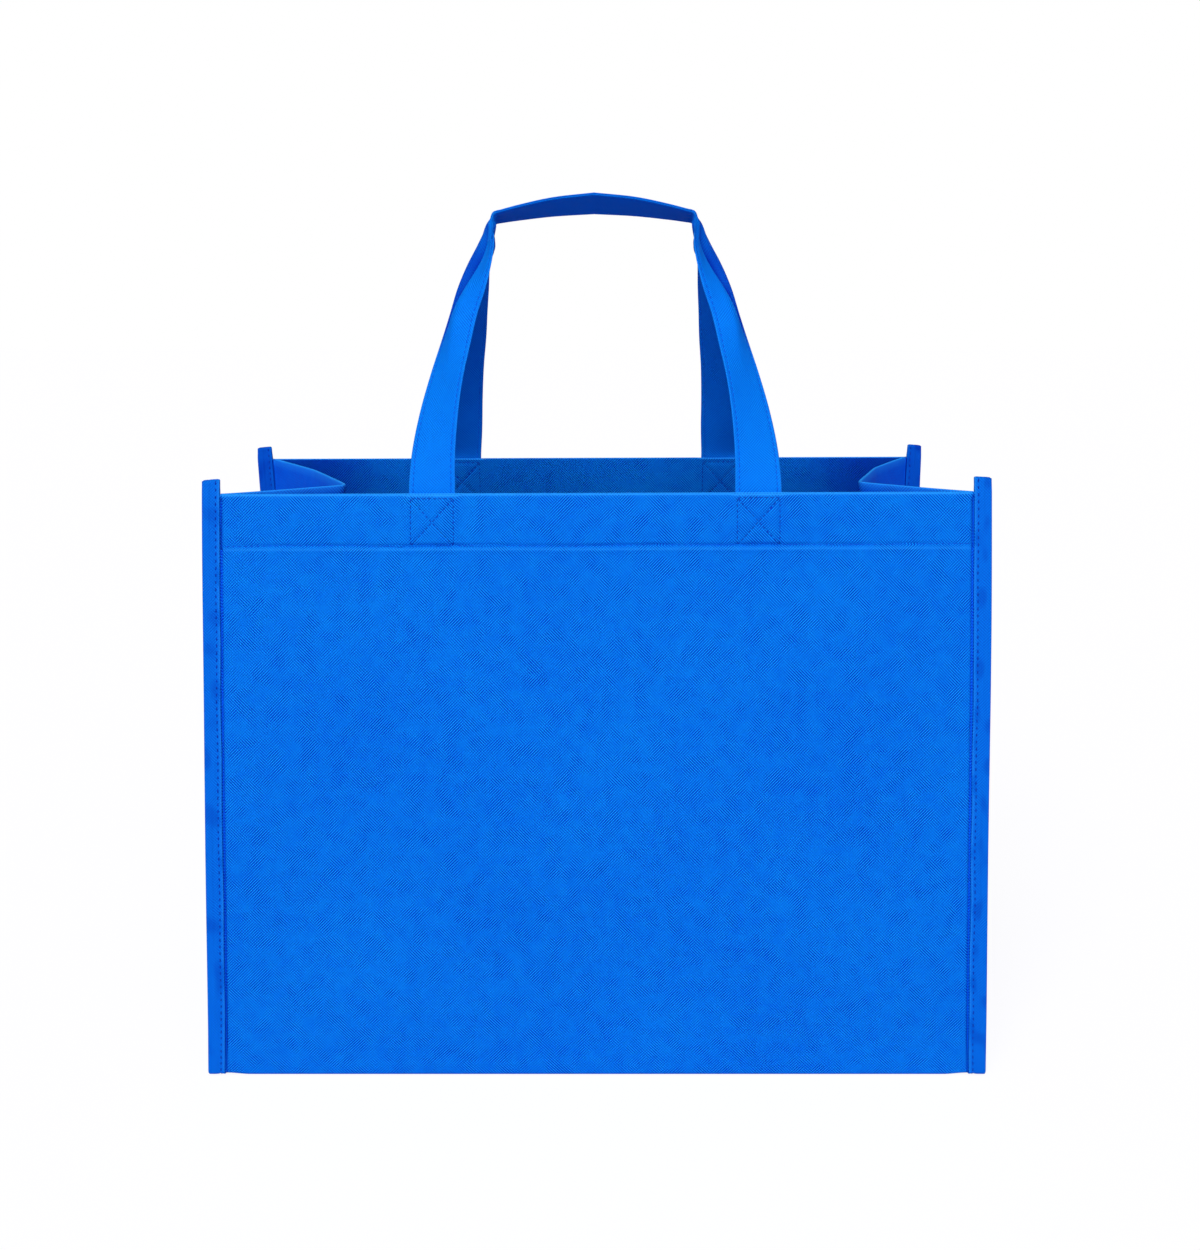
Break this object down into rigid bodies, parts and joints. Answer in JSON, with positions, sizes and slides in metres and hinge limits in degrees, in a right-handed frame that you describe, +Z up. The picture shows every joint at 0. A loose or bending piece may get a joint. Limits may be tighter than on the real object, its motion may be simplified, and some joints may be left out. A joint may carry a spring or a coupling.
{
  "type": "non-woven tote bag",
  "caption": "Open non-woven cloth tote bag with pleated side gussets, taped seams, hemmed mouth and strap handles drawn together for carrying.",
  "frame": {"origin": "middle of the bag's foot, on the surface that it stands on", "axes": "+Z up; the front panel faces -Y; +X is to the right of someone who looks at the front"},
  "size_m": [0.4052, 0.1717, 0.4512],
  "materials": {
    "panel_cloth": "embossed spunbond non-woven, matte with a faint sheen",
    "gusset_cloth": "embossed spunbond non-woven, matte with a faint sheen",
    "binding_tape": "folded non-woven tape with a line of stitches",
    "handle_strap": "folded non-woven strap, stitched along both edges"
  },
  "bodies": {
    "root": {"body_panel": "panel_cloth", "gusset_left": "gusset_cloth", "gusset_right": "gusset_cloth", "binding_left": "binding_tape", "binding_right": "binding_tape", "handle_front": "handle_strap", "handle_back": "handle_strap"}
  },
  "joints": []
}
